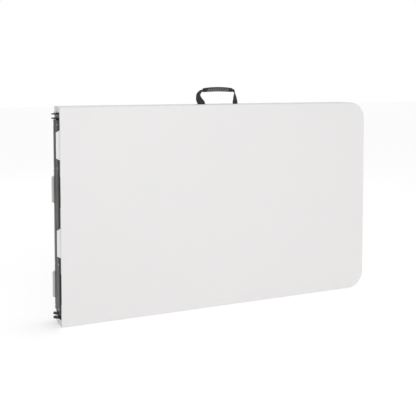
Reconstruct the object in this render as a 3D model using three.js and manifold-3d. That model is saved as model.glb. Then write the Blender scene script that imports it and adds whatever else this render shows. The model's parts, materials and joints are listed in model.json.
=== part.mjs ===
// Folding table, folded in half and standing on one long edge.
//
// Two alike blow-moulded halves meet face to face on the plane y = 0. They are hinged to each
// other at the -X end and carry a webbing handle on the upper edge. Each half holds a leg frame
// that lies flat inside it, and a two-link brace with a lock ring.
// Millimetres, +Z up, origin under the middle of the box, on the surface that the table stands on.

import * as THREE from 'three';
import { mergeVertices } from 'three/addons/utils/BufferGeometryUtils.js';
import Module from 'manifold-3d';

const wasm = await Module();
wasm.setup();

// ---- Driving dimensions ------------------------------------------------------------------

const WIDTH = 740;                 // a half's short side, upright when the table stands folded
const HALF_LENGTH = 1212;          // a half's long side, from its butt face to its rounded end
const HALF_DEPTH = 46;             // table surface to parting plane
const PANEL = 18;                  // panel between the rims
const RIM = 20;                    // rim on the three outer sides
const CORNER_RADIUS = 65;
const PARTING = 0.75;              // each rim's distance from the plane where the halves meet
const SEAM = 6;                    // butt face to fold axis, so the open seam is twice this
const TABLE_HEIGHT = 740;          // surface above the floor, on its legs

const CHANNEL_FACE = 0.5;          // end channel's face, past the fold axis
const CHANNEL_REACH = 27;          // end channel's flanges, past the fold axis
const CHANNEL_TOP = 36;            // end channel's outer flange, from the parting plane
const CHANNEL_ENDS = 45;           // end channel's ends, in from the long edges
const TONGUE_STARTS = [78, 405];   // bridging tongues, down from the half's own upper edge
const TONGUE_LENGTH = 100;
const TONGUE_REACH = 12.6;         // across the open seam, just into the other half's socket
const TONGUE_SLANT = 7;            // how far each slanted end runs along the tongue
const TONGUE_FACES = [37.6, 42.2]; // tongue's faces, from the parting plane
const BUTT_DEPTH = 36.8;           // butt face's inner edge, from the parting plane
const SKIN = 2.5;

const LUG_RADIUS = 13.5;           // hinge lug around the fold axis
const LUG_PLATE = 3.6;
const LUG_INSETS = [25.3, 39.6];       // the two lugs of one hinge, in from the long edge
const LUG_ARM = 110;
const PIN_RADIUS = 3.5;
const PLATE = 3;
const SHEET = 2;
const RAIL_WEB = [21, 23];         // side rail's web, in from the long edge
const RAIL_FLANGE = 45;
const RAIL_HEIGHT = 23;
const RAIL_END = 1160;

const PIVOT_FROM_FOLD = 1116;      // leg pivot, measured from the fold axis
const MID_DEPTH = 14;              // tube centres, from the parting plane
const TUBE_RADIUS = 11;
const PIVOT_TUBE_RADIUS = 8;
const CROSSBAR_RADIUS = 9;
const CROSSBAR_FROM_PIVOT = 300;
const LEG_INSET = { front: 95, back: 62 };   // one frame passes inside the other as they swing
const CAP_RADIUS = 13;
const CAP_LENGTH = 32;

const BRACE_ON_LEG = 330;          // leg pivot to the brace's rivet on the leg
const BRACE_ON_TOP = 480;          // leg pivot to the brace's pin under the top
const LINK_HEIGHT = 14;
const LINK_THICKNESS = 6;
const RING_REST = 256;             // lock ring's middle, from the elbow, with the brace folded
const RING_LENGTH = 24;

const HANDLE_ALONG = 0.487;        // handle's middle, as a share of the half from its butt face
const HANDLE_SPREAD = 70;          // strap foot, each side of the handle's middle
const HANDLE_RISE = 53;            // grip's centre above the rim
const GRIP_LENGTH = 116;
const GRIP_RADIUS = 9;
const STRAP_WIDTH = 28;
const STRAP_THICKNESS = 2.4;
const STRAP_DEPTH = 2.4;           // strap's middle, from the parting plane

const CLEAR = 0.4;                 // between pieces that touch
const ON_PANEL = PANEL - HALF_DEPTH + CLEAR;                  // sheet that lies on the panel
const ON_RAIL = ON_PANEL + SHEET + CLEAR;                     // sheet that lies on that sheet
const FOLD_X = (LUG_RADIUS - SEAM - HALF_LENGTH) / 2;

// The brace straightens exactly as the leg stands up, and folds flat exactly as it lies down.
const BRACE_SPAN = Math.hypot(BRACE_ON_LEG, BRACE_ON_TOP);
const LOWER_LINK = (BRACE_SPAN + BRACE_ON_TOP - BRACE_ON_LEG) / 2;
const UPPER_LINK = BRACE_SPAN - LOWER_LINK;
const BRACE_LEG_X = PIVOT_FROM_FOLD - BRACE_ON_LEG;
const BRACE_TOP_X = PIVOT_FROM_FOLD - BRACE_ON_TOP;
const ELBOW_X = BRACE_TOP_X - UPPER_LINK;
const FOOT_X = PIVOT_FROM_FOLD - (TABLE_HEIGHT - HALF_DEPTH + MID_DEPTH);
const END_X = SEAM + HALF_LENGTH;
const MIDDLE = WIDTH / 2;

// ---- Materials ---------------------------------------------------------------------------

const finish = (color, roughness, metalness) =>
  new THREE.MeshStandardMaterial({ color, roughness, metalness });
const plastic = () => finish(0xe9e7e6, 0.55, 0);
const coatedSteel = () => finish(0x5c5a58, 0.5, 0.4);
const zincSteel = () => finish(0x9a9a98, 0.35, 0.9);
const blackPlastic = () => finish(0x202020, 0.6, 0);
const webbing = () => finish(0x2b2b2c, 0.85, 0);

// ---- Solids ------------------------------------------------------------------------------

function solid(geometry) {
  const bare = geometry.index ? geometry.toNonIndexed() : geometry.clone();
  bare.deleteAttribute('normal');
  bare.deleteAttribute('uv');
  const merged = mergeVertices(bare, 1e-4);
  return new wasm.Manifold(new wasm.Mesh({
    numProp: 3,
    vertProperties: new Float32Array(merged.attributes.position.array),
    triVerts: new Uint32Array(merged.index.array),
  }));
}

function geometryOf(manifold) {
  const mesh = manifold.getMesh();
  const geometry = new THREE.BufferGeometry();
  geometry.setAttribute('position', new THREE.BufferAttribute(mesh.vertProperties, 3));
  geometry.setIndex(new THREE.BufferAttribute(mesh.triVerts, 1));
  geometry.computeVertexNormals();
  return geometry;
}

const joined = (first, ...rest) => geometryOf(rest.reduce((a, b) => a.add(solid(b)), solid(first)));
const cut = (base, ...tools) => geometryOf(tools.reduce((a, b) => a.subtract(solid(b)), solid(base)));

function block([x0, x1], [y0, y1], [z0, z1]) {
  const box = new THREE.BoxGeometry(x1 - x0, y1 - y0, z1 - z0);
  return box.translate((x0 + x1) / 2, (y0 + y1) / 2, (z0 + z1) / 2);
}

// An outline drawn in (x, y), standing from z0 to z1.
function raised(shape, [z0, z1], curveSegments = 6) {
  const options = { depth: z1 - z0, bevelEnabled: false, curveSegments };
  return new THREE.ExtrudeGeometry(shape, options).translate(0, 0, z0);
}

// An outline drawn in (x, z), standing from y0 to y1.
function upright(shape, [y0, y1], curveSegments = 8) {
  const options = { depth: y1 - y0, bevelEnabled: false, curveSegments };
  return new THREE.ExtrudeGeometry(shape, options).rotateX(Math.PI / 2).translate(0, y1, 0);
}

function rodZ(radius, [x, y], [z0, z1], sides = 20) {
  const rod = new THREE.CylinderGeometry(radius, radius, z1 - z0, sides);
  return rod.rotateX(Math.PI / 2).translate(x, y, (z0 + z1) / 2);
}

function rodX(radius, [x0, x1], [y, z], sides = 20) {
  const rod = new THREE.CylinderGeometry(radius, radius, x1 - x0, sides);
  return rod.rotateZ(Math.PI / 2).translate((x0 + x1) / 2, y, z);
}

// A rod along Z with a round head at each end.
function rivet(radius, headRadius, headHeight, [x, y], [z0, z1]) {
  return joined(
    rodZ(radius, [x, y], [z0, z1], 16),
    rodZ(headRadius, [x, y], [z0, z0 + headHeight], 20),
    rodZ(headRadius, [x, y], [z1 - headHeight, z1], 20),
  );
}

// A flat bar with round ends between two pivots that share one y, drawn in (x, y).
function barShape(x0, x1, y, height) {
  const radius = height / 2;
  const shape = new THREE.Shape();
  shape.moveTo(x0, y - radius);
  shape.lineTo(x1, y - radius);
  shape.absarc(x1, y, radius, -Math.PI / 2, Math.PI / 2, false);
  shape.lineTo(x0, y + radius);
  shape.absarc(x0, y, radius, Math.PI / 2, Math.PI * 1.5, false);
  return shape;
}

function withHole(shape, radius, [x, y]) {
  const hole = new THREE.Path();
  hole.absarc(x, y, radius, 0, Math.PI * 2, true);
  shape.holes.push(hole);
  return shape;
}

function named(name, geometry, material) {
  const mesh = new THREE.Mesh(geometry, material);
  mesh.name = name;
  return mesh;
}

// ---- One half of the top -----------------------------------------------------------------
// Each half is drawn as the front one: its table surface faces -Y and its inside faces +Y.

const inset = (distance, length, end) => (end === 1
  ? [distance, distance + length]
  : [WIDTH - distance - length, WIDTH - distance]);

function topOutline(margin) {
  const radius = CORNER_RADIUS - margin;
  const start = margin ? 0 : SEAM;
  const [low, high, far] = [margin, WIDTH - margin, END_X - margin];
  const shape = new THREE.Shape();
  shape.moveTo(start, low);
  shape.lineTo(far - radius, low);
  shape.absarc(far - radius, low + radius, radius, -Math.PI / 2, 0, false);
  shape.lineTo(far, high - radius);
  shape.absarc(far - radius, high - radius, radius, 0, Math.PI / 2, false);
  shape.lineTo(start, high);
  shape.closePath();
  return shape;
}

// A tongue with slanted ends that bridges the seam as the table opens.
function tongueShape(top) {
  const shape = new THREE.Shape();
  shape.moveTo(SEAM + 1, top);
  shape.lineTo(SEAM, top);
  shape.lineTo(SEAM - TONGUE_REACH, top - TONGUE_SLANT);
  shape.lineTo(SEAM - TONGUE_REACH, top - TONGUE_LENGTH + TONGUE_SLANT);
  shape.lineTo(SEAM, top - TONGUE_LENGTH);
  shape.lineTo(SEAM + 1, top - TONGUE_LENGTH);
  shape.closePath();
  return shape;
}

const handleX = SEAM + HALF_LENGTH * HANDLE_ALONG;
const strapFeet = [handleX - HANDLE_SPREAD, handleX + HANDLE_SPREAD];

function tableTop() {
  const [tongueIn, tongueOut] = TONGUE_FACES;
  const recess = upright(topOutline(RIM), [-HALF_DEPTH + PANEL, 1]);
  const channelSeat = block([0, CHANNEL_REACH + 3], [-BUTT_DEPTH, 1], [RIM, WIDTH - RIM]);
  const tongues = TONGUE_STARTS.map((start) =>
    upright(tongueShape(WIDTH - start), [-tongueOut, -tongueIn]));
  const sockets = TONGUE_STARTS.map((start) =>
    block([SEAM - 1, 2 * SEAM], [-HALF_DEPTH + SKIN, -BUTT_DEPTH + 1],
      [start - SHEET, start + TONGUE_LENGTH + SHEET]));
  const strapSlots = strapFeet.map((x) =>
    block([x - STRAP_WIDTH / 2 - PLATE, x + STRAP_WIDTH / 2 + PLATE],
      [-STRAP_DEPTH - STRAP_THICKNESS, 1], [WIDTH - RIM - 1, WIDTH + 1]));
  const shell = cut(upright(topOutline(0), [-HALF_DEPTH, -PARTING]),
    recess, channelSeat, ...sockets, ...strapSlots);
  return joined(shell, ...tongues);
}

// A pressed channel under the butt edge, open towards the table's middle.
function endChannel() {
  const faces = [-CHANNEL_TOP, -1];
  const length = [CHANNEL_ENDS, WIDTH - CHANNEL_ENDS];
  const hollow = block([CHANNEL_FACE + SHEET, CHANNEL_REACH + 1],
    [faces[0] + SHEET, faces[1] - SHEET], [0, WIDTH]);
  return cut(block([CHANNEL_FACE, CHANNEL_REACH], faces, length), hollow);
}

// An angle along the rim: a web against the rim and a flange against the panel.
function sideRail(end) {
  const run = [CHANNEL_REACH + 5, RAIL_END];
  const web = block(run, [ON_PANEL, ON_PANEL + RAIL_HEIGHT],
    inset(RAIL_WEB[0], RAIL_WEB[1] - RAIL_WEB[0], end));
  const flange = block(run, [ON_PANEL, ON_PANEL + SHEET],
    inset(RAIL_WEB[0], RAIL_FLANGE - RAIL_WEB[0], end));
  return joined(web, flange);
}

// A lug around the fold axis on a long arm, with a flange that is screwed to the side rail.
function hingeBracket(lugInset, end) {
  const [low, high] = inset(lugInset - LUG_PLATE / 2, LUG_PLATE, end);
  const root = CHANNEL_REACH + 5;
  const arm = new THREE.Shape();
  arm.absarc(0, 0, LUG_RADIUS, Math.PI * 0.2, Math.PI * 1.5, false);
  arm.lineTo(root, ON_RAIL);
  arm.lineTo(LUG_ARM, ON_RAIL);
  arm.lineTo(LUG_ARM, -15);
  arm.lineTo(root, -3);
  arm.lineTo(LUG_RADIUS + 2, -2);
  arm.closePath();
  withHole(arm, PIN_RADIUS + 0.5, [0, 0]);
  const width = RAIL_FLANGE - RAIL_WEB[1] - 1.5;
  const flange = block([root, LUG_ARM], [ON_RAIL, ON_RAIL + SHEET], inset(RAIL_WEB[1] + 1, width, end));
  return joined(raised(arm, [low, high], 20), flange);
}

function legBracket(end) {
  const plate = block([PIVOT_FROM_FOLD - 26, PIVOT_FROM_FOLD + 26], [ON_RAIL, -1.6],
    inset(RAIL_WEB[1] + 1, PLATE, end));
  return cut(plate, rodZ(PIVOT_TUBE_RADIUS + CLEAR, [PIVOT_FROM_FOLD, -MID_DEPTH], [0, WIDTH], 24));
}

// A flat strap across the top's underside, with one ear for the brace's upper link.
function braceRail() {
  const strap = block([BRACE_TOP_X - 15, BRACE_TOP_X + 15], [ON_PANEL, ON_PANEL + SHEET],
    [RAIL_FLANGE + 1, WIDTH - RAIL_FLANGE - 1]);
  const ear = new THREE.Shape();
  ear.moveTo(BRACE_TOP_X - 12, -26);
  ear.lineTo(BRACE_TOP_X + 12, -26);
  ear.lineTo(BRACE_TOP_X + 9, -MID_DEPTH);
  ear.absarc(BRACE_TOP_X, -MID_DEPTH, 9, 0, Math.PI, false);
  ear.closePath();
  withHole(ear, PIN_RADIUS + 0.5, [BRACE_TOP_X, -MID_DEPTH]);
  return joined(strap, raised(ear, EAR_Z, 12));
}

// A cradle that holds a stored leg tube by its outer half.
function legClip(z) {
  const seat = block([FOOT_X + 52, FOOT_X + 72], [ON_PANEL, -MID_DEPTH], [z - 15, z + 15]);
  return cut(seat, rodX(TUBE_RADIUS + CLEAR, [FOOT_X, FOOT_X + 99], [-MID_DEPTH, z], 24));
}

// ---- Leg frame and brace -----------------------------------------------------------------
// The two links lie side by side along the brace's middle plane.

const LOWER_Z = [MIDDLE - LINK_THICKNESS - 0.5, MIDDLE - 0.5];
const UPPER_Z = [MIDDLE + 0.5, MIDDLE + LINK_THICKNESS + 0.5];
const EAR_Z = [UPPER_Z[1] + CLEAR, UPPER_Z[1] + CLEAR + PLATE];
const LEG_EAR_Z = [LOWER_Z[0] - CLEAR - PLATE, LOWER_Z[0] - CLEAR];

function legTube(z) {
  return rodX(TUBE_RADIUS,
    [FOOT_X + PLATE + CLEAR, PIVOT_FROM_FOLD - PIVOT_TUBE_RADIUS - CLEAR], [-MID_DEPTH, z], 24);
}

// A cup over the tube's end: its floor is the foot.
function footCap(z) {
  const cup = rodX(CAP_RADIUS, [FOOT_X, FOOT_X + CAP_LENGTH], [-MID_DEPTH, z], 24);
  return cut(cup, rodX(TUBE_RADIUS + CLEAR, [FOOT_X + PLATE, FOOT_X + 99], [-MID_DEPTH, z], 24));
}

function crossbar(legInset) {
  const x = PIVOT_FROM_FOLD - CROSSBAR_FROM_PIVOT;
  const reach = legInset + TUBE_RADIUS + CLEAR;
  const bar = rodZ(CROSSBAR_RADIUS, [x, -MID_DEPTH], [reach, WIDTH - reach], 20);
  const ear = raised(barShape(BRACE_LEG_X, x, -MID_DEPTH, LINK_HEIGHT), LEG_EAR_Z);
  return joined(bar, ear);
}

function lockRing() {
  const x = ELBOW_X + RING_REST;
  const [outer, inner] = [LINK_HEIGHT / 2 + 5.6, LINK_HEIGHT / 2 + 3.4];
  const z = [LOWER_Z[0] - 4.6, UPPER_Z[1] + 4.6];
  const span = [x - RING_LENGTH / 2, x + RING_LENGTH / 2];
  const y = (half) => [-MID_DEPTH - half, -MID_DEPTH + half];
  return cut(block(span, y(outer), z),
    block([span[0] - 1, span[1] + 1], y(inner), [z[0] + SHEET, z[1] - SHEET]));
}

// ---- Handle ------------------------------------------------------------------------------

// A band of constant width along a curve, drawn in (x, z).
function bandShape(points, width, steps = 8) {
  const curve = new THREE.SplineCurve(points.map(([x, z]) => new THREE.Vector2(x, z)));
  const sides = [1, -1].map((side) => Array.from({ length: steps + 1 }, (_, i) => {
    const along = curve.getTangent(i / steps);
    const offset = new THREE.Vector2(-along.y, along.x).multiplyScalar(side * width / 2);
    return curve.getPoint(i / steps).add(offset);
  }));
  return new THREE.Shape([...sides[0], ...sides[1].reverse()]);
}

function handleStrap(side) {
  const [foot, end] = [HANDLE_SPREAD, GRIP_LENGTH / 2 + 1];
  const rise = HANDLE_RISE;
  const route = [[foot, 3.6], [foot + 4, 14], [foot + 9, 30], [foot + 1, rise - 6], [end, rise]]
    .map(([x, z]) => [handleX + side * x, WIDTH + z]);
  const faces = [-STRAP_DEPTH - STRAP_THICKNESS / 2, -STRAP_DEPTH + STRAP_THICKNESS / 2];
  return upright(bandShape(route, STRAP_WIDTH * 0.6), faces);
}

function handleGrip() {
  const bevel = 3;
  const reach = GRIP_LENGTH / 2 - 2;
  const profile = [[0, -reach], [GRIP_RADIUS - bevel, -reach], [GRIP_RADIUS, -reach + bevel],
    [GRIP_RADIUS, reach - bevel], [GRIP_RADIUS - bevel, reach], [0, reach]]
    .map(([radius, along]) => new THREE.Vector2(radius, along));
  const grip = new THREE.LatheGeometry(profile, 20).rotateZ(Math.PI / 2);
  return grip.translate(handleX, -STRAP_DEPTH, WIDTH + HANDLE_RISE);
}

// The strap's fixed end: it drops through its slot in the rim and lies on its anchor plate.
function strapTail(x) {
  const faces = [-STRAP_DEPTH - STRAP_THICKNESS / 2, -STRAP_DEPTH + STRAP_THICKNESS / 2];
  return block([x - STRAP_WIDTH / 2, x + STRAP_WIDTH / 2], faces, [WIDTH - 46, WIDTH + 0.3]);
}

function anchorPlate(x) {
  const width = [x - STRAP_WIDTH / 2, x + STRAP_WIDTH / 2];
  return joined(
    block(width, [-6.2, -4.2], [WIDTH - 46, WIDTH - RAIL_WEB[1] - CLEAR]),
    block(width, [-22, -4.2], [WIDTH - RAIL_WEB[1] - CLEAR - SHEET, WIDTH - RAIL_WEB[1] - CLEAR]),
  );
}

// ---- Assembly ----------------------------------------------------------------------------

function half(side) {
  const group = new THREE.Group();
  const add = (piece, geometry, material) => group.add(named(`${side}_${piece}`, geometry, material));
  const legInset = LEG_INSET[side];
  const legZ = [legInset, WIDTH - legInset];

  add('table_top', tableTop(), plastic());
  add('end_channel', endChannel(), coatedSteel());
  add('brace_rail', braceRail(), coatedSteel());
  for (const end of [1, 2]) {
    add(`side_rail_${end}`, sideRail(end), coatedSteel());
    add(`hinge_bracket_${end}`, hingeBracket(LUG_INSETS[end - 1], end), coatedSteel());
    add(`leg_bracket_${end}`, legBracket(end), coatedSteel());
    add(`leg_clip_${end}`, legClip(legZ[end - 1]), blackPlastic());
    add(`leg_tube_${end}`, legTube(legZ[end - 1]), coatedSteel());
    add(`foot_cap_${end}`, footCap(legZ[end - 1]), blackPlastic());
  }
  add('leg_pivot_tube', rodZ(PIVOT_TUBE_RADIUS, [PIVOT_FROM_FOLD, -MID_DEPTH],
    [RAIL_WEB[1] + 0.6, WIDTH - RAIL_WEB[1] - 0.6], 24), coatedSteel());
  add('leg_crossbar', crossbar(legInset), coatedSteel());

  const holeRadius = PIN_RADIUS + 0.5;
  const upper = barShape(ELBOW_X, BRACE_TOP_X, -MID_DEPTH, LINK_HEIGHT);
  const lower = barShape(ELBOW_X, BRACE_LEG_X, -MID_DEPTH, LINK_HEIGHT);
  withHole(upper, holeRadius, [BRACE_TOP_X, -MID_DEPTH]);
  add('brace_upper_link', raised(withHole(upper, holeRadius, [ELBOW_X, -MID_DEPTH]), UPPER_Z, 12),
    coatedSteel());
  add('brace_lower_link', raised(withHole(lower, holeRadius, [ELBOW_X, -MID_DEPTH]), LOWER_Z, 12),
    coatedSteel());
  add('brace_elbow_rivet', rivet(PIN_RADIUS, LINK_HEIGHT / 2 - 0.8, 1.8, [ELBOW_X, -MID_DEPTH],
    [LOWER_Z[0] - 2.2, UPPER_Z[1] + 2.2]), zincSteel());
  add('brace_rail_pin', joined(
    rodZ(PIN_RADIUS, [BRACE_TOP_X, -MID_DEPTH], [UPPER_Z[0] + 0.2, EAR_Z[1] + 2.4], 16),
    rodZ(LINK_HEIGHT / 2, [BRACE_TOP_X, -MID_DEPTH], [EAR_Z[1] + CLEAR, EAR_Z[1] + 2.4], 20),
  ), zincSteel());
  add('brace_lock_ring', lockRing(), zincSteel());
  return group;
}

// A pin along the fold axis, through both halves' lugs at one end of the seam.
function foldPin(end) {
  return rivet(PIN_RADIUS, 6.2, 2.2, [0, 0], inset(20.7, 23.9, end));
}

function handle() {
  const group = new THREE.Group();
  group.add(named('handle_grip', handleGrip(), webbing()));
  for (const [index, side] of [-1, 1].entries()) {
    group.add(named(`handle_strap_${index + 1}`, handleStrap(side), webbing()));
    group.add(named(`handle_strap_tail_${index + 1}`, strapTail(strapFeet[index]), webbing()));
    group.add(named(`handle_anchor_plate_${index + 1}`, anchorPlate(strapFeet[index]), coatedSteel()));
  }
  return group;
}

const frontHalf = half('front');
const backHalf = half('back');
backHalf.rotation.x = Math.PI;     // the same moulding, turned over about the table's long axis
backHalf.position.z = WIDTH;

const table = new THREE.Group();
table.position.x = FOLD_X;
table.add(frontHalf, backHalf, handle());
for (const end of [1, 2]) table.add(named(`fold_pin_${end}`, foldPin(end), zincSteel()));

export default table;
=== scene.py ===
"""Folding table, folded in half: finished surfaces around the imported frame. Metres, +Z up."""
import json
import math

import bmesh
import bpy
from mathutils import Matrix, Vector

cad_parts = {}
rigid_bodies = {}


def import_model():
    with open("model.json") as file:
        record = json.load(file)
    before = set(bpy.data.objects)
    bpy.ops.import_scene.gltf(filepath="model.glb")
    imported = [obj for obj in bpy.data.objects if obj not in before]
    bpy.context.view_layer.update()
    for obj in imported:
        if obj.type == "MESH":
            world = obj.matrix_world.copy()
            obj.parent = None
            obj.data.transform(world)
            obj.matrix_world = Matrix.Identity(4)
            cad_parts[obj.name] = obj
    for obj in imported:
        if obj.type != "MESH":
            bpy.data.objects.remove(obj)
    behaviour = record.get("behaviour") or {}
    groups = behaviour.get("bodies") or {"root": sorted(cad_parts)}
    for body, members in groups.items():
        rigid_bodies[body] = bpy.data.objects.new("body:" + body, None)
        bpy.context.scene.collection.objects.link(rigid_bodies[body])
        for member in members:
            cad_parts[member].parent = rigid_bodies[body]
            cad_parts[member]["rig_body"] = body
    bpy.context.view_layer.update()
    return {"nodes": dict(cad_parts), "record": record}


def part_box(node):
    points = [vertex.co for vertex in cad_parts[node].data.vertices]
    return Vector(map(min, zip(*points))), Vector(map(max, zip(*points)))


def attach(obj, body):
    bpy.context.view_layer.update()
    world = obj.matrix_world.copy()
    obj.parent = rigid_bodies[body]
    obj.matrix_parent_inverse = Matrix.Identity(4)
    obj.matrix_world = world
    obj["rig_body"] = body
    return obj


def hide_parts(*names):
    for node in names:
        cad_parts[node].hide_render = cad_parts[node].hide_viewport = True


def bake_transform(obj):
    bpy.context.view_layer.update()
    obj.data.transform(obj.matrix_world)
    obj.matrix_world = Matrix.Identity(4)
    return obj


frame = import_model()

MM = 0.001
JOINTS = {joint["name"]: joint for joint in frame["record"]["behaviour"]["joints"]}
FOLD = Vector(JOINTS["centre_fold"]["pos_m"])
LOW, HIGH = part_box("front_table_top")
END = HIGH.x                                  # rounded end
DEPTH = -LOW.y                                # table surface to parting plane
WIDTH = HIGH.z
PARTING = -HIGH.y
BUTT = FOLD.x + 6 * MM
RIM = 20 * MM
CORNER = 65 * MM
FLOOR_DEPTH = 31.6 * MM                       # under the dimpled skin, from the table surface side
SKIN_DEPTH = 28.1 * MM                        # the dimpled skin's crown
SEAT_DEPTH = 36.8 * MM                        # seat of the end channel
TONGUE_STARTS = (78 * MM, 405 * MM)
TONGUE_LENGTH = 100 * MM
TONGUE_TIP = LOW.x
TONGUE_FACES = (37.6 * MM, 42.2 * MM)
TONGUE_SLANT = 7 * MM
TONGUE_ROOT = 4 * MM                          # how far a tongue runs on inside the moulding
SURFACE_ROUNDING = 5.5 * MM                   # outer edge of the table surface
BUTT_ROUNDING = 2.2 * MM
PARTING_ROUNDING = 2.5 * MM
WELL_ROUNDING = 3 * MM
HINGE = Vector(JOINTS["handle_swing"]["pos_m"])
TURNED_OVER = Matrix.Translation((0, 0, WIDTH)) @ Matrix.Rotation(math.pi, 4, "X")


# ---- Materials ---------------------------------------------------------------------------

class Socket:
    """A node's output, so that shader maths reads as Python."""

    def __init__(self, sheet, link):
        self.sheet = sheet
        self.link = link

    def maths(self, operation, *values):
        wired = dict(enumerate(values))
        return self.sheet.node("ShaderNodeMath", {"operation": operation}, wired)

    def __add__(self, other):
        return self.maths("ADD", self, other)

    def __mul__(self, other):
        return self.maths("MULTIPLY", self, other)

    def wave(self):
        return self.maths("SINE", self)

    __radd__ = __add__
    __rmul__ = __mul__


class Sheet:
    """One material's node sheet."""

    def __init__(self, name, kind=bpy.data.materials):
        self.material = kind.new(name)
        self.material.use_nodes = True
        self.tree = self.material.node_tree
        self.tree.nodes.clear()

    def node(self, kind, settings=None, sockets=None, output=0):
        made = self.tree.nodes.new(kind)
        for key, value in (settings or {}).items():
            setattr(made, key, value)
        for key, value in (sockets or {}).items():
            if isinstance(value, Socket):
                self.tree.links.new(value.link, made.inputs[key])
            else:
                made.inputs[key].default_value = value
        return Socket(self, made.outputs[output]) if made.outputs else None

    def place(self):
        return self.node("ShaderNodeTexCoord", output="Object")

    def noise(self, scale, detail=2.0, roughness=0.5):
        wired = {"Vector": self.place(), "Scale": scale, "Detail": detail, "Roughness": roughness}
        return self.node("ShaderNodeTexNoise", {}, wired)

    def cells(self, scale, feature="SMOOTH_F1"):
        wired = {"Vector": self.place(), "Scale": scale}
        return self.node("ShaderNodeTexVoronoi", {"feature": feature}, wired)

    def mix(self, factor, first, second):
        """Colours go through Mix, as a Math node would turn them grey."""
        wired = {0: factor, 6: first, 7: second}
        return self.node("ShaderNodeMix", {"data_type": "RGBA"}, wired, output=2)

    def bump(self, height, depth, strength=1.0):
        wired = {"Height": height, "Distance": depth, "Strength": strength}
        return self.node("ShaderNodeBump", {}, wired)

    def surface(self, sockets):
        shader = self.node("ShaderNodeBsdfPrincipled", {}, sockets)
        self.node("ShaderNodeOutputMaterial", {}, {"Surface": shader})
        return self.material


def moulded_white():
    sheet = Sheet("moulded_white")
    pebble = sheet.cells(620) * 0.7 + sheet.noise(1500, 3) * 0.5
    cloud = sheet.noise(2.2, 3)
    scuff = sheet.noise(14, 6, 0.7)
    colour = sheet.mix(cloud, (0.800, 0.790, 0.788, 1), (0.822, 0.812, 0.808, 1))
    return sheet.surface({
        "Base Color": colour,
        "Roughness": 0.42 + scuff * 0.16,
        "Specular IOR Level": 0.4,
        "Normal": sheet.bump(pebble, 0.22 * MM, 0.5),
    })


def powder_coat():
    sheet = Sheet("powder_coat")
    peel = sheet.noise(900, 2)
    rub = sheet.noise(26, 6, 0.75)
    colour = sheet.mix(rub, (0.031, 0.030, 0.029, 1), (0.047, 0.045, 0.043, 1))
    return sheet.surface({
        "Base Color": colour,
        "Metallic": 0.25,
        "Roughness": 0.38 + rub * 0.2,
        "Normal": sheet.bump(peel, 0.15 * MM, 0.4),
    })


def zinc_plate():
    sheet = Sheet("zinc_plate")
    spangle = sheet.cells(260, feature="F1")
    smear = sheet.noise(60, 4)
    colour = sheet.mix(spangle, (0.50, 0.50, 0.49, 1), (0.66, 0.65, 0.63, 1))
    return sheet.surface({
        "Base Color": colour,
        "Metallic": 0.9,
        "Roughness": 0.24 + smear * 0.24,
        "Normal": sheet.bump(smear, 0.05 * MM, 0.5),
    })


def black_moulding():
    sheet = Sheet("black_moulding")
    grain = sheet.cells(900)
    dust = sheet.noise(30, 5)
    colour = sheet.mix(dust, (0.022, 0.022, 0.023, 1), (0.040, 0.040, 0.040, 1))
    return sheet.surface({
        "Base Color": colour,
        "Roughness": 0.48 + dust * 0.15,
        "Normal": sheet.bump(grain, 0.12 * MM, 0.5),
    })


def woven(name, dark, light, rib=1.6 * MM):
    """Webbing: ribs along the strap crossed by fine weft. UV runs across and along in metres."""
    sheet = Sheet(name)
    uv = sheet.node("ShaderNodeUVMap", {"uv_map": "strap"})
    across, along = (sheet.node("ShaderNodeSeparateXYZ", {}, {0: uv}, output=i) for i in (0, 1))
    warp = (across * (2 * math.pi / rib)).wave() * 0.5 + 0.5
    step = along * (2 * math.pi / (rib * 0.9)) + (across * (math.pi / rib)).wave() * 1.2
    weft = step.wave() * 0.5 + 0.5
    weave = warp * 0.6 + weft * 0.4
    fuzz = sheet.noise(1800, 2)
    wear = sheet.noise(55, 4)
    colour = sheet.mix(weave * 0.8 + wear * 0.3, dark, light)
    return sheet.surface({
        "Base Color": colour,
        "Roughness": 0.62 + fuzz * 0.2,
        "Sheen Weight": 0.08,
        "Sheen Roughness": 0.4,
        "Normal": sheet.bump(weave + fuzz * 0.2, 0.35 * MM, 0.8),
    })


WHITE = moulded_white()
COATED = powder_coat()
ZINC = zinc_plate()
BLACK = black_moulding()
WEBBING = woven("webbing", (0.007, 0.007, 0.008, 1), (0.034, 0.034, 0.036, 1))
GRIP_COVER = woven("grip_cover", (0.009, 0.009, 0.010, 1), (0.026, 0.026, 0.028, 1), 1.1 * MM)
LACING = woven("lacing", (0.14, 0.14, 0.145, 1), (0.30, 0.30, 0.31, 1), 0.8 * MM)


# ---- Modelling by hand -------------------------------------------------------------------

def pick(obj):
    bpy.ops.object.select_all(action="DESELECT")
    obj.select_set(True)
    bpy.context.view_layer.objects.active = obj
    return obj


def block(name, low, high):
    """A cube primitive between two corners, left in object mode with its size applied."""
    low, high = Vector(low), Vector(high)
    bpy.ops.object.select_all(action="DESELECT")
    bpy.ops.mesh.primitive_cube_add(size=1, location=(low + high) / 2, scale=high - low)
    made = bpy.context.object
    made.name = made.data.name = name
    bpy.ops.object.transform_apply(location=True, rotation=True, scale=True)
    return made


def rod(name, centre, radius, length, axis, sides=48):
    turn = {"X": (0, math.pi / 2, 0), "Y": (math.pi / 2, 0, 0), "Z": (0, 0, 0)}[axis]
    bpy.ops.object.select_all(action="DESELECT")
    bpy.ops.mesh.primitive_cylinder_add(vertices=sides, radius=radius, depth=length,
                                        location=centre, rotation=turn)
    made = bpy.context.object
    made.name = made.data.name = name
    bpy.ops.object.transform_apply(location=True, rotation=True, scale=True)
    return made


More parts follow.
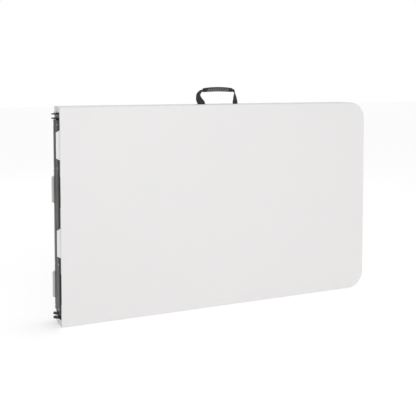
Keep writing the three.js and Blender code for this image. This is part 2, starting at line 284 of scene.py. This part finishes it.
def select(obj, kind, test):
    """In edit mode, selects the faces or edges that pass a test, and nothing else."""
    mesh = bmesh.from_edit_mesh(obj.data)
    bpy.ops.mesh.select_mode(type="FACE" if kind == "faces" else "EDGE")
    for part in (mesh.verts, mesh.edges, mesh.faces):
        for item in part:
            item.select = False
    for item in getattr(mesh, kind):
        if test(item):
            item.select_set(True)
    mesh.select_flush_mode()
    bmesh.update_edit_mesh(obj.data)


def edit(obj):
    pick(obj)
    bpy.ops.object.mode_set(mode="EDIT")


def done():
    bpy.ops.object.mode_set(mode="OBJECT")


def bevel_edges(obj, test, width, segments):
    edit(obj)
    select(obj, "edges", test)
    bpy.ops.mesh.bevel(offset=width, segments=segments, affect="EDGES")
    done()


def middle(edge):
    return (edge.verts[0].co + edge.verts[1].co) / 2


def runs_along(edge, axis):
    way = (edge.verts[0].co - edge.verts[1].co).normalized()
    return abs(way[axis]) > 0.999


def on_plane(axis, value):
    """Edges that lie on a plane across an axis."""
    return lambda edge: all(abs(v.co[axis] - value) < 0.05 * MM for v in edge.verts)


def modify(obj, kind, **settings):
    pick(obj)
    made = obj.modifiers.new(kind.lower(), kind)
    for key, value in settings.items():
        setattr(made, key, value)
    bpy.ops.object.modifier_apply(modifier=made.name)


def combine(obj, tool, operation):
    modify(obj, "BOOLEAN", object=tool, operation=operation, solver="EXACT")
    bpy.data.objects.remove(tool)


def finished(obj, material, body, slot, *nodes, angle=35):
    pick(obj)
    obj.data.materials.clear()
    obj.data.materials.append(material)
    bpy.ops.object.shade_smooth_by_angle(angle=math.radians(angle))
    if body:
        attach(obj, body)
    if nodes:
        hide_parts(*nodes)
    return obj


def duplicate(obj, name, matrix=None):
    made = obj.copy()
    made.data = obj.data.copy()
    made.name = made.data.name = name
    bpy.context.scene.collection.objects.link(made)
    if matrix is not None:
        made.data.transform(matrix)
    return made


# ---- The two halves of the top -----------------------------------------------------------

def rounded_slab(name, low, high, radius, segments=14):
    """A block whose two upright edges at the rounded end are rounded."""
    slab = block(name, low, high)
    bevel_edges(slab, lambda e: runs_along(e, 1) and middle(e).x > high[0] - MM, radius, segments)
    return slab


def tongue(start):
    """A bridging tongue with slanted ends and a rounded nose, rooted in the butt face."""
    low, high = WIDTH - start - TONGUE_LENGTH, WIDTH - start
    plate = block("tongue", (TONGUE_TIP, -TONGUE_FACES[1], low), (BUTT, -TONGUE_FACES[0], high))
    edit(plate)
    select(plate, "faces", lambda f: f.calc_center_median().x < TONGUE_TIP + 0.1 * MM)
    nose = 1 - 2 * TONGUE_SLANT / TONGUE_LENGTH
    nose_at = (TONGUE_TIP, -sum(TONGUE_FACES) / 2, (low + high) / 2)
    bpy.ops.transform.resize(value=(1, 1, nose), center_override=nose_at)
    done()
    bevel_edges(plate, lambda e: middle(e).x < BUTT - 0.1 * MM and not runs_along(e, 1), 1.3 * MM, 3)
    groove_at = (BUTT - 2.8 * MM, -TONGUE_FACES[1] - 1.2 * MM, (low + high) / 2)
    groove = rod("groove", groove_at, 3.2 * MM, TONGUE_LENGTH - 2 * TONGUE_SLANT, "Z")
    combine(plate, groove, "DIFFERENCE")
    edit(plate)
    select(plate, "faces", lambda f: f.calc_center_median().x > BUTT - 0.1 * MM)
    bpy.ops.mesh.extrude_region_move(TRANSFORM_OT_translate={"value": (TONGUE_ROOT, 0, 0)})
    done()
    return plate


def table_top():
    top = rounded_slab("front_top_moulding", (BUTT, -DEPTH, 0), (END, -PARTING, WIDTH), CORNER)
    bevel_edges(top, lambda e: on_plane(1, -DEPTH)(e) and middle(e).x > BUTT + MM, SURFACE_ROUNDING, 5)
    bevel_edges(top, lambda e: on_plane(0, BUTT)(e) and runs_along(e, 2) and middle(e).y < -DEPTH / 2,
                BUTT_ROUNDING, 3)
    bevel_edges(top, on_plane(1, -PARTING), PARTING_ROUNDING, 3)
    well = rounded_slab("well", (BUTT - 20 * MM, -FLOOR_DEPTH, RIM),
                        (END - RIM, 10 * MM, WIDTH - RIM), CORNER - RIM)
    bevel_edges(well, on_plane(1, -FLOOR_DEPTH), WELL_ROUNDING, 3)
    combine(top, well, "DIFFERENCE")
    seat = block("seat", (BUTT - 20 * MM, -SEAT_DEPTH, RIM), (FOLD.x + 30 * MM, 10 * MM, WIDTH - RIM))
    combine(top, seat, "DIFFERENCE")
    for start in TONGUE_STARTS:
        pocket = block("pocket", (BUTT - 5 * MM, -DEPTH + 2.5 * MM, start - 2 * MM),
                       (BUTT + 7 * MM, -SEAT_DEPTH + MM, start + TONGUE_LENGTH + 2 * MM))
        bevel_edges(pocket, lambda e: runs_along(e, 0), 2 * MM, 3)
        combine(top, pocket, "DIFFERENCE")
    for name in ("handle_strap_tail_1", "handle_strap_tail_2"):
        low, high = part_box(name)
        gap = block("gap", (low.x - 3 * MM, low.y - 1.2 * MM, WIDTH - RIM - MM),
                    (high.x + 3 * MM, 10 * MM, WIDTH + 5 * MM))
        bevel_edges(gap, lambda e: runs_along(e, 2) and middle(e).y < 0, 1.5 * MM, 3)
        combine(top, gap, "DIFFERENCE")
    for start in TONGUE_STARTS:
        combine(top, tongue(start), "UNION")
    return top


def dimpled_skin():
    """The underside's skin: a raised field with staggered dimples, closed behind."""
    margin = 16 * MM
    low = Vector((FOLD.x + 34 * MM, -SKIN_DEPTH, RIM + margin))
    high = Vector((END - RIM - margin, -SKIN_DEPTH, WIDTH - RIM - margin))
    size = high - low
    step = 4.5 * MM
    columns, rows = round(size.x / step), round(size.z / step)
    bpy.ops.object.select_all(action="DESELECT")
    bpy.ops.mesh.primitive_grid_add(x_subdivisions=columns, y_subdivisions=rows, size=1,
                                    location=(low + high) / 2, rotation=(-math.pi / 2, 0, 0))
    skin = bpy.context.object
    skin.scale = (size.x, size.z, 1)
    skin.name = skin.data.name = "front_underside_skin"
    bpy.ops.object.transform_apply(location=True, rotation=True, scale=True)
    pitch, radius, depth = 36 * MM, 9 * MM, 2.8 * MM
    sink, backing = 0.3 * MM, 1.5 * MM
    drop = FLOOR_DEPTH - SKIN_DEPTH + sink
    for vertex in skin.data.vertices:
        x, z = vertex.co.x - low.x, vertex.co.z - low.z
        row = round(z / pitch)
        shift = pitch / 2 if row % 2 else 0
        nearest = round((x - shift) / pitch) * pitch + shift
        away = math.hypot(x - nearest, z - row * pitch) / radius
        if away < 1:
            vertex.co.y -= depth * (1 - away * away)
        border = min(x, size.x - x, z, size.z - z) / (2 * step)
        if border < 1:
            vertex.co.y = -SKIN_DEPTH - drop * (1 - border)
    edit(skin)
    select(skin, "edges", lambda e: e.is_boundary)
    bpy.ops.mesh.extrude_edges_move(TRANSFORM_OT_translate={"value": (0, -backing, 0)})
    bpy.ops.mesh.edge_face_add()
    done()
    return skin


def halves():
    top = table_top()
    skin = dimpled_skin()
    back_top = duplicate(top, "back_top_moulding", TURNED_OVER)
    back_skin = duplicate(skin, "back_underside_skin", TURNED_OVER)
    finished(top, WHITE, "front_half", "white_plastic", "front_table_top")
    finished(back_top, WHITE, "back_half", "white_plastic", "back_table_top")
    finished(skin, WHITE, "front_half", "white_plastic")
    finished(back_skin, WHITE, "back_half", "white_plastic")


# ---- Steelwork ---------------------------------------------------------------------------

TUBE_WALL = 1.6 * MM
TUBE_BORE = 10 * MM
CAP_WALL = 1.6 * MM
CAP_BORE = 28 * MM
GRIP_RIBS = 3
RIB_START, RIB_PITCH, GROOVE_WIDTH, GROOVE_DEPTH = 11.2 * MM, 5.5 * MM, 1.6 * MM, 0.9 * MM
SCREW_RADIUS, SCREW_HEIGHT = 3.4 * MM, 0.45 * MM
SCREW_DEPTH = 27 * MM                         # screws, from the parting plane
SCREW_SHARES = (0.081, 0.277, 0.715, 0.920)   # screws, as shares of the width, down from the top


def is_disc(face):
    """A rod's end, which has a side for every facet."""
    return len(face.verts) > 8


def eased(node, material, slot, width, segments=2):
    """A copy of a pressed part with its sharp edges rolled over."""
    piece = duplicate(frame["nodes"][node], node + "_pressed")
    piece.parent = None
    for key in list(piece.keys()):
        del piece[key]
    edit(piece)
    bpy.ops.mesh.select_all(action="SELECT")
    bpy.ops.mesh.remove_doubles(threshold=0.01 * MM)
    bpy.ops.mesh.dissolve_limited(angle_limit=math.radians(1))
    done()
    modify(piece, "BEVEL", width=width, segments=segments, limit_method="ANGLE",
           angle_limit=math.radians(40))
    body = frame["nodes"][node]["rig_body"]
    return finished(piece, material, body, slot, node)


def round_tube(node, axis):
    """A drawn tube in a node's place, bored a little way in from each end, with softened rims."""
    low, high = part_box(node)
    size = high - low
    index = "XYZ".index(axis)
    radius = size[(index + 1) % 3] / 2
    piece = rod(node + "_drawn", (low + high) / 2, radius, size[index], axis)
    edit(piece)
    select(piece, "faces", is_disc)
    bpy.ops.mesh.inset(thickness=TUBE_WALL, use_individual=True)
    for value, way in ((low[index], 1), (high[index], -1)):
        select(piece, "faces", lambda f, v=value: is_disc(f)
               and abs(f.calc_center_median()[index] - v) < 0.1 * MM)
        move = [0, 0, 0]
        move[index] = way * TUBE_BORE
        bpy.ops.mesh.extrude_region_move(TRANSFORM_OT_translate={"value": move})
    done()
    modify(piece, "BEVEL", width=0.6 * MM, segments=2, limit_method="ANGLE",
           angle_limit=math.radians(60))
    return finished(piece, COATED, frame["nodes"][node]["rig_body"], "coated_steel", node)


def foot_cap(node):
    """A ribbed cup over a tube's end, drawn out of a short disc ring by ring."""
    low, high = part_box(node)
    centre_line = (low + high) / 2
    radius = (high.y - low.y) / 2
    length = high.x - low.x
    outline = []
    for number in range(GRIP_RIBS):
        start = RIB_START + RIB_PITCH * number
        outline += [(start, radius), (start, radius - GROOVE_DEPTH),
                    (start + GROOVE_WIDTH, radius - GROOVE_DEPTH), (start + GROOVE_WIDTH, radius)]
    bore = radius - CAP_WALL
    outline += [(length, radius), (length, bore), (length - CAP_BORE, bore)]
    place, size = 6 * MM, radius
    disc_at = (low.x + place / 2, centre_line.y, centre_line.z)
    piece = rod(node + "_moulded", disc_at, radius, place, "X")
    edit(piece)
    select(piece, "faces", lambda f: is_disc(f) and f.calc_center_median().x > low.x + MM)
    for next_place, next_size in outline:
        bpy.ops.mesh.extrude_region_move(TRANSFORM_OT_translate={"value": (next_place - place, 0, 0)})
        scale = next_size / size
        centre = (low.x + next_place, centre_line.y, centre_line.z)
        bpy.ops.transform.resize(value=(1, scale, scale), center_override=centre)
        place, size = next_place, next_size
    done()
    bevel_edges(piece, on_plane(0, low.x), 2.5 * MM, 4)
    modify(piece, "BEVEL", width=0.3 * MM, segments=2, limit_method="ANGLE",
           angle_limit=math.radians(50))
    return piece


def foot_caps():
    """One cap is modelled, and the other three are copies moved to their own legs."""
    nodes = [f"{side}_foot_cap_{end}" for side in ("front", "back") for end in (1, 2)]
    first = foot_cap(nodes[0])
    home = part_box(nodes[0])[0]
    copies = [first] + [duplicate(first, node + "_moulded", Matrix.Translation(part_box(node)[0] - home))
                        for node in nodes[1:]]
    for piece, node in zip(copies, nodes):
        finished(piece, BLACK, frame["nodes"][node]["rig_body"], "black_plastic", node)


def screw_head():
    """A low domed head with a cross recess, facing up."""
    bpy.ops.object.select_all(action="DESELECT")
    bpy.ops.mesh.primitive_cylinder_add(vertices=24, radius=SCREW_RADIUS, depth=SCREW_HEIGHT,
                                        location=(0, 0, SCREW_HEIGHT / 2))
    head = bpy.context.object
    bpy.ops.object.transform_apply(location=True)
    bevel_edges(head, on_plane(2, SCREW_HEIGHT), SCREW_HEIGHT * 0.7, 3)
    reach, half_slot = SCREW_RADIUS * 0.6, SCREW_RADIUS * 0.12
    for turn in (0, math.pi / 2):
        blade = block("blade", (-reach, -half_slot, SCREW_HEIGHT * 0.35),
                      (reach, half_slot, SCREW_HEIGHT * 2))
        blade.data.transform(Matrix.Rotation(turn, 4, "Z"))
        combine(head, blade, "DIFFERENCE")
    return head


def steelwork():
    for side in ("front", "back"):
        eased(f"{side}_end_channel", COATED, "coated_steel", 0.6 * MM)
        eased(f"{side}_brace_rail", COATED, "coated_steel", 0.4 * MM)
        eased(f"{side}_brace_upper_link", COATED, "coated_steel", 0.8 * MM)
        eased(f"{side}_brace_lower_link", COATED, "coated_steel", 0.8 * MM)
        eased(f"{side}_brace_lock_ring", ZINC, "zinc_steel", 1.2 * MM, 3)
        round_tube(f"{side}_leg_pivot_tube", "Z")
        for end in (1, 2):
            for piece in ("side_rail", "hinge_bracket", "leg_bracket"):
                eased(f"{side}_{piece}_{end}", COATED, "coated_steel", 0.4 * MM)
            eased(f"{side}_leg_clip_{end}", BLACK, "black_plastic", 1.0 * MM)
            round_tube(f"{side}_leg_tube_{end}", "X")
        eased(f"{side}_leg_crossbar", COATED, "coated_steel", 0.5 * MM)
        for pin in ("brace_elbow_rivet", "brace_rail_pin"):
            eased(f"{side}_{pin}", ZINC, "zinc_steel", 0.5 * MM)
    foot_caps()
    for end in (1, 2):
        eased(f"fold_pin_{end}", ZINC, "zinc_steel", 0.6 * MM)
        eased(f"handle_anchor_plate_{end}", COATED, "coated_steel", 0.4 * MM)


def channel_screws():
    """Countersunk screws through each end channel's face into the moulding."""
    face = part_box("front_end_channel")[0].x
    head = screw_head()
    facing = Vector((0, 0, 1)).rotation_difference(Vector((-1, 0, 0))).to_matrix().to_4x4()
    for number, share in enumerate(SCREW_SHARES, 1):
        for side, body in (("front", "front_half"), ("back", "back_half")):
            at = Vector((face, -SCREW_DEPTH, WIDTH * (1 - share)))
            if side == "back":
                at = TURNED_OVER @ at
            screw = duplicate(head, f"{side}_channel_screw_{number}", Matrix.Translation(at) @ facing)
            finished(screw, ZINC, body, "zinc_steel")
    bpy.data.objects.remove(head)


# ---- Handle ------------------------------------------------------------------------------

STRAP_THICKNESS = 2.2 * MM
STRAP_STEPS = 40
GRIP_HALF_LENGTH = 57.5 * MM
GRIP_HALF_DEPTH = 12 * MM
GRIP_HALF_HEIGHT = 8.4 * MM
GRIP_BOW = 3.2 * MM
GRIP_STEPS, GRIP_SIDES = 36, 28
LACES, LACE_START, LACE_PITCH = 9, -46 * MM, 9.5 * MM
# One face of a strap's section, as shares of half its width and half its thickness.
STRAP_SECTION = ((-1, -0.3), (-0.94, -1), (-0.5, -0.9), (0, -0.85), (0.5, -0.9), (0.94, -1), (1, -0.3))


def swept(name, rings):
    """A closed skin over rings of points, with the strap's UV in metres across and along."""
    count = len(rings[0])
    points = [point for ring in rings for point in ring]
    faces = []
    for i in range(len(rings) - 1):
        for j in range(count):
            k = (j + 1) % count
            faces.append((i * count + j, i * count + k, (i + 1) * count + k, (i + 1) * count + j))
    faces.append(tuple(reversed(range(count))))
    faces.append(tuple((len(rings) - 1) * count + j for j in range(count)))
    mesh = bpy.data.meshes.new(name)
    mesh.from_pydata(points, [], faces)
    along = [0.0]
    for one, two in zip(rings, rings[1:]):
        centres = [sum((Vector(p) for p in ring), Vector()) / count for ring in (one, two)]
        along.append(along[-1] + (centres[1] - centres[0]).length)
    around = [0.0]
    for one, two in zip(rings[0], rings[0][1:] + rings[0][:1]):
        around.append(around[-1] + (Vector(two) - Vector(one)).length)
    layer = mesh.uv_layers.new(name="strap")
    for face in mesh.polygons:
        for place, corner in zip(range(4), face.loop_indices):
            vertex = mesh.loops[corner].vertex_index
            ring, point = divmod(vertex, count)
            wraps = face.index < (len(rings) - 1) * count and place in (1, 2) and point == 0
            layer.data[corner].uv = (around[count] if wraps else around[point], along[ring])
    made = bpy.data.objects.new(name, mesh)
    bpy.context.scene.collection.objects.link(made)
    edit(made)
    bpy.ops.mesh.select_all(action="SELECT")
    bpy.ops.mesh.normals_make_consistent(inside=False)
    done()
    return made


def smooth_path(points, steps):
    """Evenly shared points along a Catmull-Rom curve through the given points."""
    ends = [2 * points[0] - points[1]] + points + [2 * points[-1] - points[-2]]
    path = []
    spans = len(points) - 1
    for i in range(steps + 1):
        t = min(i / steps * spans, spans - 1e-6)
        n, f = int(t), t - int(t)
        a, b, c, d = ends[n:n + 4]
        path.append(0.5 * (2 * b + (c - a) * f + (2 * a - 5 * b + 4 * c - d) * f * f
                           + (3 * b - a - 3 * c + d) * f ** 3))
    return path


def between(values, share):
    """A value eased between evenly placed ones, at a share of the way."""
    place = min(share * (len(values) - 1), len(values) - 1 - 1e-6)
    n, f = int(place), place - int(place)
    f = f * f * (3 - 2 * f)
    return values[n] + (values[n + 1] - values[n]) * f


def ribbon(name, route, widths, twists, thickness):
    """A strap along a route in the handle's upright plane; twist 0 is face on, 1 is edge on."""
    path = smooth_path([Vector(p) for p in route], STRAP_STEPS)
    facing = Vector((0, -1, 0))
    section = STRAP_SECTION + tuple((-u, -v) for u, v in STRAP_SECTION)
    rings = []
    for i, point in enumerate(path):
        half_width = between(widths, i / STRAP_STEPS) / 2
        twist = between(twists, i / STRAP_STEPS) * math.pi / 2
        way = (path[min(i + 1, STRAP_STEPS)] - path[max(i - 1, 0)]).normalized()
        side = facing.cross(way).normalized()
        across = side * math.cos(twist) + facing * math.sin(twist)
        through = way.cross(across)
        rings.append([point + across * u * half_width + through * v * thickness / 2 for u, v in section])
    return swept(name, rings)


def straps():
    """The two straps that rise from the rim to the grip, and their tails below the rim."""
    x_middle, depth = HINGE.x, HINGE.y

    def at(x, z):
        return (x_middle + x * MM, depth, WIDTH + z * MM)

    left = ribbon("handle_webbing_1",
                  [at(-64.5, -1), at(-65.5, 4), at(-74, 17), at(-77, 32), at(-71, 43), at(-60, 49),
                   at(-50, 51)],
                  [28 * MM, 28 * MM, 27 * MM, 25 * MM, 23 * MM, 22 * MM, 22 * MM],
                  [0, 0, 0.14, 0.32, 0.50, 0.74, 0.95], STRAP_THICKNESS)
    right = ribbon("handle_webbing_2",
                   [at(71, -1), at(71, 8), at(70.5, 20), at(69, 36), at(66, 44), at(60, 50), at(50, 51)],
                   [20 * MM] * 7, [0, 0.02, 0.28, 0.56, 0.92, 1.22, 1.25], STRAP_THICKNESS)
    for number, strap in enumerate((left, right), 1):
        finished(strap, WEBBING, None, "webbing", f"handle_strap_{number}", angle=60)
        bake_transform(strap)
        node = f"handle_strap_tail_{number}"
        low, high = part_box(node)
        x, y = (low.x + high.x) / 2, (low.y + high.y) / 2
        tail = ribbon(f"handle_webbing_tail_{number}", [(x, y, z) for z in (low.z, low.z + 9 * MM, high.z)],
                      [high.x - low.x] * 3, [0] * 3, STRAP_THICKNESS)
        finished(tail, WEBBING, "front_half", "webbing", node, angle=60)


def grip_height(share):
    """The bowed grip's centre at a share of its half length."""
    low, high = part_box("handle_grip")
    return (low.z + high.z) / 2 - 2 * MM + GRIP_BOW * (1 - share * share)


def grip_cover():
    """A soft cover with a rounded oblong section that thins towards its ends."""
    rings = []
    for i in range(GRIP_STEPS + 1):
        share = -1 + 2 * i / GRIP_STEPS
        swell = 1 - 0.12 * abs(share) ** 3
        ring = []
        for j in range(GRIP_SIDES):
            turn = 2 * math.pi * j / GRIP_SIDES
            c, s = math.cos(turn), math.sin(turn)
            y = math.copysign(abs(c) ** 0.75, c) * GRIP_HALF_DEPTH * swell
            z = math.copysign(abs(s) ** 0.8, s) * GRIP_HALF_HEIGHT * swell
            ring.append(Vector((HINGE.x + share * GRIP_HALF_LENGTH, HINGE.y + y, grip_height(share) + z)))
        rings.append(ring)
    grip = swept("handle_grip_cover", rings)
    bevel_edges(grip, lambda e: all(abs(abs(v.co.x - HINGE.x) - GRIP_HALF_LENGTH) < 0.05 * MM
                                    for v in e.verts), 1.8 * MM, 3)
    finished(grip, GRIP_COVER, "handle", "webbing", "handle_grip", angle=60)


def lacing():
    """Slanted stitches across the grip's front, each lying on the cover where it bows."""
    stitch = ((-0.6, -10.6, -6.9), (1.2, -12.3, -4.6), (3.6, -12.9, -0.8), (5.6, -12.2, 2.4),
              (6.4, -10.8, 4.2))
    for number in range(LACES):
        along = LACE_START + LACE_PITCH * number
        height = grip_height((along + 3 * MM) / GRIP_HALF_LENGTH)
        route = [(HINGE.x + along + x * MM, HINGE.y + y * MM, height + z * MM) for x, y, z in stitch]
        lace = ribbon(f"handle_lacing_{number + 1}", route, [3.4 * MM] * 5, [0] * 5, 1.8 * MM)
        finished(lace, LACING, "handle", "webbing", angle=60)


# ---- Studio ------------------------------------------------------------------------------

def studio():
    scene = bpy.context.scene
    scene.view_settings.view_transform = "Standard"
    room = Sheet("studio_room", bpy.data.worlds)
    scene.world = room.material
    way = room.node("ShaderNodeTexCoord")
    wired = {0: way, 1: (-1, 0, 0)}
    left = room.node("ShaderNodeVectorMath", {"operation": "DOT_PRODUCT"}, wired, "Value")
    shade = room.node("ShaderNodeMapRange", {}, {"Value": left, "From Min": 0.1, "From Max": 1.0,
                                                 "To Min": 0.84, "To Max": 0.30})
    walls = room.node("ShaderNodeBackground", {}, {"Color": (1, 1, 1, 1), "Strength": shade})
    seen = room.node("ShaderNodeBackground", {}, {"Color": (1, 1, 1, 1), "Strength": 1.0})
    camera_ray = room.node("ShaderNodeLightPath")
    both = room.node("ShaderNodeMixShader", {}, {0: camera_ray, 1: walls, 2: seen})
    room.node("ShaderNodeOutputWorld", {}, {"Surface": both})
    bpy.ops.object.select_all(action="DESELECT")
    bpy.ops.mesh.primitive_plane_add(size=40, location=(0, 0, -0.5 * MM))
    floor = bpy.context.object
    floor.name = "studio_floor"
    sheet = Sheet("studio_floor")
    floor.data.materials.append(sheet.surface({
        "Base Color": (0.9, 0.9, 0.9, 1), "Roughness": 0.9, "Specular IOR Level": 0.1,
        "Emission Color": (1, 1, 1, 1), "Emission Strength": 0.3}))
    for name, energy, size, place, aim in (
            ("key", 7, 1.4, (-0.4, -1.9, 1.5), (-0.05, 0, 0.45)),
            ("fill", 3, 3.0, (2.8, -2.6, 1.8), (0, 0, 0.4)),
            ("rim", 4, 2.5, (0.5, 2.8, 2.4), (0, 0, 0.4))):
        light = bpy.data.lights.new(name, "AREA")
        light.energy, light.size = energy, size
        lamp = bpy.data.objects.new(name, light)
        scene.collection.objects.link(lamp)
        lamp.location = place
        lamp.rotation_euler = (Vector(aim) - Vector(place)).to_track_quat("-Z", "Y").to_euler()


def camera():
    data = bpy.data.cameras.new("camera")
    data.sensor_width = 36
    data.lens = 61.5
    data.shift_y = -0.22
    made = bpy.data.objects.new("camera", data)
    bpy.context.scene.collection.objects.link(made)
    made.location = (-1.090, -2.379, 0.825)
    made.rotation_euler = (math.radians(90 - 2.87), 0, math.radians(-23.74))
    bpy.context.scene.camera = made


camera()
studio()
halves()
steelwork()
channel_screws()
straps()
grip_cover()
lacing()
